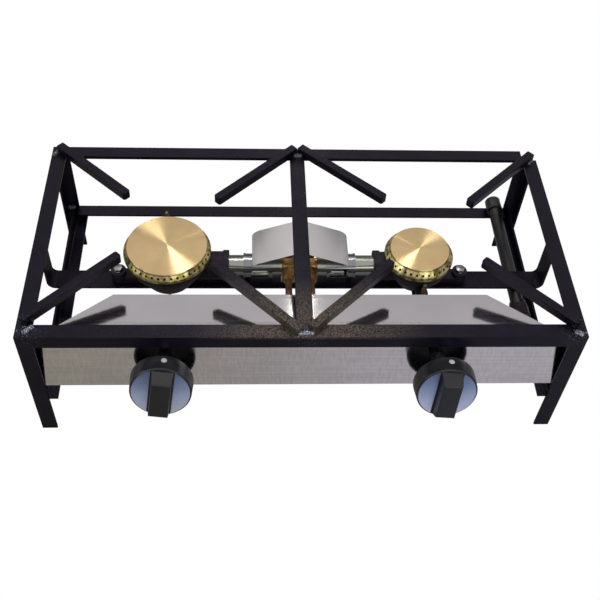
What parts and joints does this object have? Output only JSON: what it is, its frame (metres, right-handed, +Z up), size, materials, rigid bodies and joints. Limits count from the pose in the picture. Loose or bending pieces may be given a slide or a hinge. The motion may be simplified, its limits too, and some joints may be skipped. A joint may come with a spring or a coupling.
{
  "type": "gas boiling table",
  "caption": "Low open angle-iron gas boiling table with a large and a small ring burner side by side, pot fingers, leaning steel control panel and push-and-turn taps.",
  "frame": {"origin": "on the floor, under the middle of the bounding box", "axes": "+X to the right seen from the knobs, +Y to the rear, +Z up"},
  "size_m": [0.6, 0.3512, 0.183],
  "materials": {
    "black_coat": "satin textured powder coat",
    "weld_steel": "glossy coat over the weld",
    "panel_steel": "fine satin, nearly mirror",
    "shield_steel": "satin sheet",
    "zinc_steel": "bright zinc",
    "pipe_black": "gloss black paint",
    "cast_iron": "sand cast, dark",
    "burner_brass": "turned brass",
    "tube_chrome": "plated",
    "shutter_chrome": "plated",
    "fitting_brass": "machined brass",
    "plug_brass": "ground brass",
    "spindle_steel": "turned steel",
    "supply_steel": "drawn aluminium tube",
    "knob_black": "moulded, glossy",
    "knob_plate": "satin, blue-grey",
    "dot_white": "white fill",
    "probe_copper": "bright copper",
    "bracket_black": "black paint",
    "lead_copper": "drawn copper"
  },
  "bodies": {
    "frame": {"front_rail": "black_coat", "rear_rail": "black_coat", "side_rail_left": "black_coat", "side_rail_right": "black_coat", "centre_rail": "black_coat", "leg_front_left": "black_coat", "leg_front_right": "black_coat", "leg_rear_left": "black_coat", "leg_rear_right": "black_coat", "lower_rail_rear": "black_coat", "lower_rail_left": "black_coat", "lower_rail_right": "black_coat", "support_bar": "black_coat", "pot_finger_front_left": "black_coat", "pot_finger_front_right": "black_coat", "pot_finger_rear_left": "black_coat", "pot_finger_rear_right": "black_coat", "pot_fingers_front_centre": "black_coat", "pot_fingers_rear_centre": "black_coat", "weld_beads": "weld_steel", "front_panel": "panel_steel", "heat_shield": "shield_steel", "injector_bracket": "shield_steel", "lug_screws": "zinc_steel", "gas_main": "pipe_black", "main_plug": "pipe_black", "pipe_union": "pipe_black", "inlet_pipe": "pipe_black", "inlet_socket": "pipe_black", "burner_bowl_left": "cast_iron", "burner_bowl_right": "cast_iron", "mixing_tube_left": "tube_chrome", "mixing_tube_right": "tube_chrome", "injector_left": "fitting_brass", "injector_right": "fitting_brass", "tap_left": "fitting_brass", "tap_right": "fitting_brass", "supply_tube_left": "supply_steel", "supply_tube_right": "supply_steel", "probe_left": "probe_copper", "probe_right": "probe_copper", "probe_bracket_left": "bracket_black", "probe_bracket_right": "bracket_black", "probe_lead_left": "lead_copper", "probe_lead_right": "lead_copper"},
    "plug_left": {"tap_plug_left": "plug_brass"},
    "knob_left": {"knob_left": "knob_black", "knob_insert_left": "knob_plate", "knob_dot_left": "dot_white", "spindle_left": "spindle_steel"},
    "cap_left": {"burner_cap_left": "burner_brass"},
    "shutter_left": {"air_shutter_left": "shutter_chrome"},
    "plug_right": {"tap_plug_right": "plug_brass"},
    "knob_right": {"knob_right": "knob_black", "knob_insert_right": "knob_plate", "knob_dot_right": "dot_white", "spindle_right": "spindle_steel"},
    "cap_right": {"burner_cap_right": "burner_brass"},
    "shutter_right": {"air_shutter_right": "shutter_chrome"}
  },
  "joints": [
    {"name": "knob_turn_left", "type": "hinge", "parent": "frame", "child": "plug_left", "pos_m": [-0.1528, -0.11405, 0.10729], "axis": [0, -0.9703, 0.2419], "range_deg": [0, 200]},
    {"name": "knob_push_left", "type": "slide", "parent": "plug_left", "child": "knob_left", "axis": [0, 0.9703, -0.2419], "range_m": [0, 0.003], "stiffness_N_per_m": 1500, "springref_m": -0.004},
    {"name": "cap_lift_left", "type": "slide", "parent": "frame", "child": "cap_left", "axis": [0, 0, 1], "range_m": [0, 0.06]},
    {"name": "shutter_turn_left", "type": "hinge", "parent": "frame", "child": "shutter_left", "pos_m": [-0.049, 0.02565, 0.12], "axis": [1, 0, 0], "range_deg": [0, 60]},
    {"name": "knob_turn_right", "type": "hinge", "parent": "frame", "child": "plug_right", "pos_m": [0.1528, -0.11405, 0.10729], "axis": [0, -0.9703, 0.2419], "range_deg": [0, 200]},
    {"name": "knob_push_right", "type": "slide", "parent": "plug_right", "child": "knob_right", "axis": [0, 0.9703, -0.2419], "range_m": [0, 0.003], "stiffness_N_per_m": 1500, "springref_m": -0.004},
    {"name": "cap_lift_right", "type": "slide", "parent": "frame", "child": "cap_right", "axis": [0, 0, 1], "range_m": [0, 0.06]},
    {"name": "shutter_turn_right", "type": "hinge", "parent": "frame", "child": "shutter_right", "pos_m": [0.049, 0.02565, 0.12], "axis": [1, 0, 0], "range_deg": [0, 60]}
  ]
}
